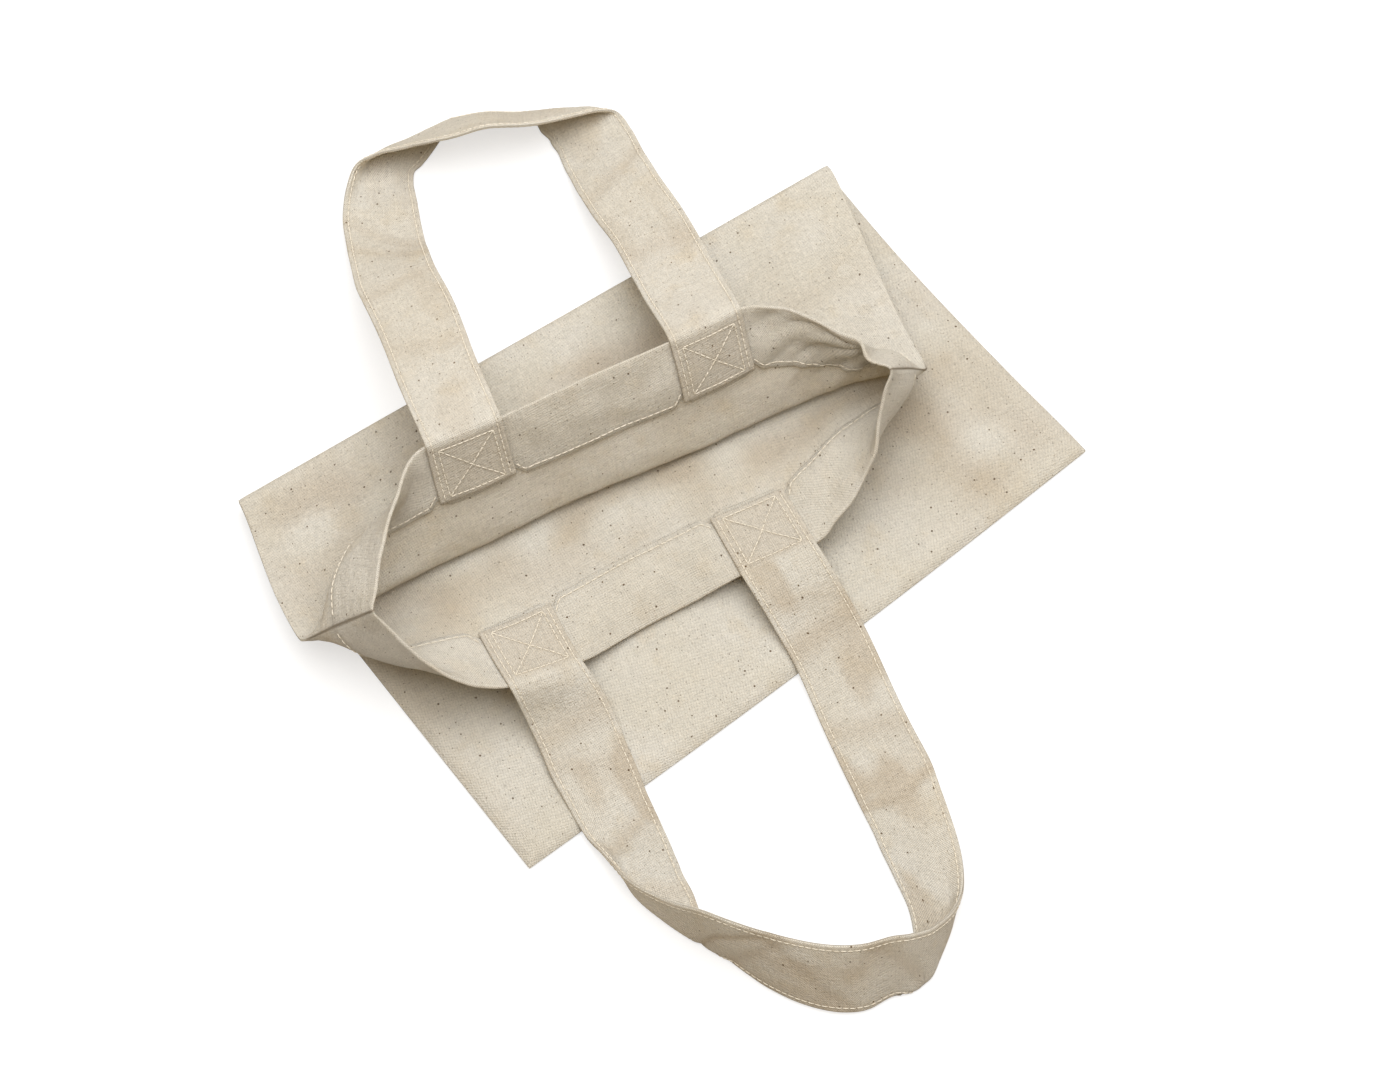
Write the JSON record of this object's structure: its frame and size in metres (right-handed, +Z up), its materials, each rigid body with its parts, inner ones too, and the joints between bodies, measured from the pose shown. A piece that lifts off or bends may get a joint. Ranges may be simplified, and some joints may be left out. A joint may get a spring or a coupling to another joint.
{
  "type": "tote bag",
  "caption": "Flat unbleached cotton tote bag lying folded over on itself with its hemmed mouth open and its strap handles laid outwards.",
  "frame": {"origin": "bottom centre of the whole bag's box, on the surface it lies on", "axes": "+X along the bag's bottom seam towards its right side, +Y from the bottom seam towards the fold and the back handle, +Z up"},
  "size_m": [0.3718, 0.5128, 0.075],
  "materials": {
    "panel_cloth": "plain woven unbleached cotton with dark seed flecks",
    "turned_in_cloth": "raw edge of the same cotton, turned to the inside",
    "strap_cloth": "the same cotton folded to a strap and stitched along both edges"
  },
  "bodies": {
    "bag": {"back_panel": "panel_cloth", "front_panel": "panel_cloth", "left_seam_allowance": "turned_in_cloth", "right_seam_allowance": "turned_in_cloth", "bottom_seam_allowance": "turned_in_cloth", "back_handle_left_end": "strap_cloth", "back_handle_right_end": "strap_cloth", "front_handle_left_end": "strap_cloth", "front_handle_right_end": "strap_cloth"},
    "back_handle": {"back_handle_loop": "strap_cloth"},
    "front_handle": {"front_handle_loop": "strap_cloth"}
  },
  "joints": [
    {"name": "back_handle_swing", "type": "hinge", "parent": "bag", "child": "back_handle", "pos_m": [-0.00683, 0.06327, 0.07278], "axis": [0.9795, -0.2008, -0.0155], "range_deg": [0, 105]},
    {"name": "front_handle_swing", "type": "hinge", "parent": "bag", "child": "front_handle", "pos_m": [-0.04213, -0.04257, 0.02598], "axis": [-0.9856, 0.1634, 0.0433], "range_deg": [0, 105]}
  ]
}
